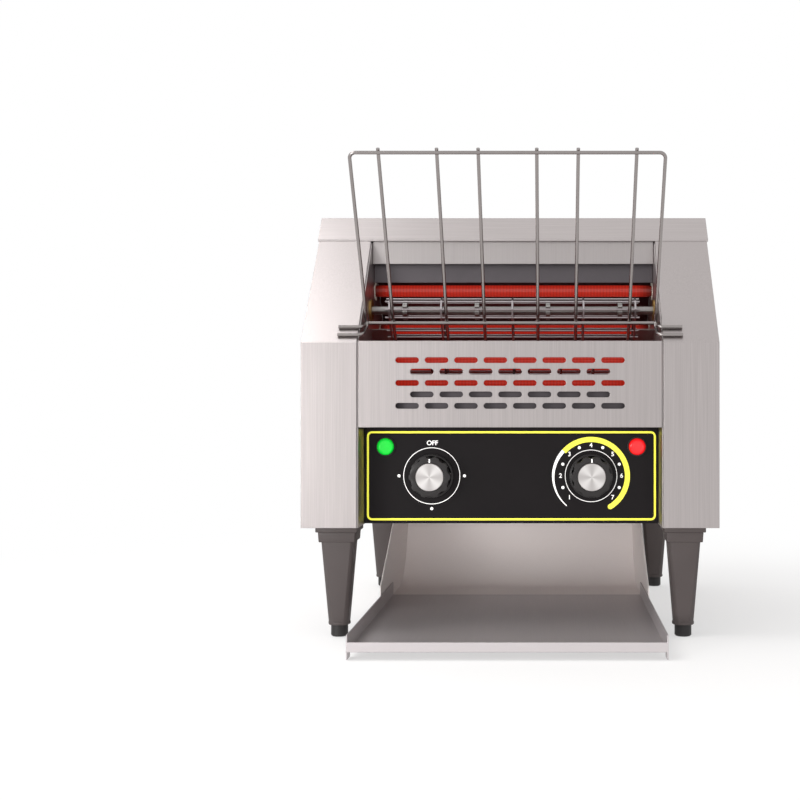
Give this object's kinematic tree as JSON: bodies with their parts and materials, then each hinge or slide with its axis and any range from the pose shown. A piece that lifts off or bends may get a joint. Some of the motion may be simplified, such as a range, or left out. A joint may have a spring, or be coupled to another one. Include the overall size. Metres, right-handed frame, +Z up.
{
  "type": "conveyor toaster",
  "caption": "Countertop conveyor toaster with a sloping loading mouth and wire rack, inclined wire belt between heater tubes, curved chute, pull-out tray and dial controls.",
  "frame": {"origin": "on the floor, under the centre of the whole object's box", "axes": "+Z up, front with controls and tray towards -Y, +X to the right seen from the front"},
  "size_m": [0.3696, 0.44, 0.4184],
  "materials": {
    "steel": "vertical brushed stainless sheet",
    "steel_inner": "mill finish stainless sheet",
    "reflector": "bright aluminised sheet",
    "black_panel": "satin black with a printed border",
    "wire": "bright drawn wire",
    "belt_wire": "stainless wire",
    "shaft_steel": "ground bar",
    "bronze": "sintered bush",
    "quartz": "glowing quartz tube",
    "ceramic": "unglazed porcelain",
    "leg_plastic": "moulded warm dark grey",
    "foot_plastic": "moulded black",
    "knob_plastic": "moulded black",
    "cap_aluminium": "spun brushed disc",
    "green_lens": "clear tinted lens",
    "red_lens": "clear tinted lens",
    "black_plastic": "moulded black",
    "cream_plastic": "moulded cream",
    "motor_steel": "zinc plated can",
    "zinc": "zinc plated screws"
  },
  "bodies": {
    "housing": {"left_side_cover": "steel", "right_side_cover": "steel", "left_side_plate": "steel_inner", "right_side_plate": "steel_inner", "top_cover": "steel", "rear_panel": "steel", "front_panel": "steel", "control_panel": "black_panel", "mouth_baffle": "steel_inner", "upper_reflector": "reflector", "lower_reflector": "reflector", "heater_bushes": "ceramic", "guide_wires": "wire", "conveyor_belt": "belt_wire", "shaft_bearings": "bronze", "gear_motor": "motor_steel", "motor_bracket": "steel_inner", "drive_chain": "shaft_steel", "chute": "steel", "leg_nuts": "zinc", "selector_switch": "black_plastic", "speed_regulator": "black_plastic", "green_lamp": "green_lens", "red_lamp": "red_lens", "fan_frame": "black_plastic", "terminal_block": "cream_plastic", "thermostat": "shaft_steel", "cord_gland": "black_plastic", "machine_screws": "zinc", "lower_heater_1": "quartz", "lower_heater_2": "quartz", "lower_heater_3": "quartz", "upper_heater_1": "quartz", "upper_heater_2": "quartz", "upper_heater_3": "quartz", "upper_heater_4": "quartz", "front_left_leg": "leg_plastic", "front_right_leg": "leg_plastic", "rear_left_leg": "leg_plastic", "rear_right_leg": "leg_plastic"},
    "loading_rack": {"loading_rack": "wire"},
    "collecting_tray": {"collecting_tray": "steel"},
    "selector": {"selector_knob": "knob_plastic", "selector_knob_cap": "cap_aluminium", "selector_spindle": "shaft_steel"},
    "speed_control": {"speed_knob": "knob_plastic", "speed_knob_cap": "cap_aluminium", "speed_spindle": "shaft_steel"},
    "drive_shaft": {"lower_shaft": "shaft_steel", "lower_sprockets": "shaft_steel", "driven_chain_wheel": "shaft_steel"},
    "upper_belt_shaft": {"upper_shaft": "shaft_steel", "upper_sprockets": "shaft_steel"},
    "motor_output": {"motor_shaft": "shaft_steel", "motor_chain_wheel": "shaft_steel"},
    "fan_rotor": {"fan_rotor": "black_plastic"},
    "front_left_foot": {"front_left_foot": "foot_plastic"},
    "front_right_foot": {"front_right_foot": "foot_plastic"},
    "rear_left_foot": {"rear_left_foot": "foot_plastic"},
    "rear_right_foot": {"rear_right_foot": "foot_plastic"}
  },
  "joints": [
    {"name": "rack_lift", "type": "slide", "parent": "housing", "child": "loading_rack", "axis": [0, -0.7071, 0.7071], "range_m": [0, 0.15]},
    {"name": "tray_slide", "type": "slide", "parent": "housing", "child": "collecting_tray", "axis": [0, -1, 0], "range_m": [0, 0.15]},
    {"name": "selector_turn", "type": "hinge", "parent": "housing", "child": "selector", "pos_m": [-0.072, -0.113, 0.1435], "axis": [0, 1, 0], "range_deg": [0, 270]},
    {"name": "speed_turn", "type": "hinge", "parent": "housing", "child": "speed_control", "pos_m": [0.072, -0.113, 0.1435], "axis": [0, 1, 0], "range_deg": [-135, 135]},
    {"name": "drive_spin", "type": "hinge", "parent": "housing", "child": "drive_shaft", "pos_m": [0, 0.05876, 0.16024], "axis": [1, 0, 0], "continuous": true},
    {"name": "upper_shaft_spin", "type": "hinge", "parent": "housing", "child": "upper_belt_shaft", "pos_m": [0, -0.077, 0.296], "axis": [1, 0, 0], "continuous": true},
    {"name": "motor_spin", "type": "hinge", "parent": "housing", "child": "motor_output", "pos_m": [0.152, 0.14131, 0.16024], "axis": [1, 0, 0], "continuous": true},
    {"name": "fan_spin", "type": "hinge", "parent": "housing", "child": "fan_rotor", "pos_m": [-0.17, 0.136, 0.155], "axis": [1, 0, 0], "continuous": true},
    {"name": "front_left_level", "type": "slide", "parent": "housing", "child": "front_left_foot", "axis": [0, 0, -1], "range_m": [0, 0.012]},
    {"name": "front_right_level", "type": "slide", "parent": "housing", "child": "front_right_foot", "axis": [0, 0, -1], "range_m": [0, 0.012]},
    {"name": "rear_left_level", "type": "slide", "parent": "housing", "child": "rear_left_foot", "axis": [0, 0, -1], "range_m": [0, 0.012]},
    {"name": "rear_right_level", "type": "slide", "parent": "housing", "child": "rear_right_foot", "axis": [0, 0, -1], "range_m": [0, 0.012]}
  ],
  "couplings": [
    {"joint": "upper_shaft_spin", "follows": "drive_spin", "ratio": 1},
    {"joint": "motor_spin", "follows": "drive_spin", "ratio": 1}
  ]
}
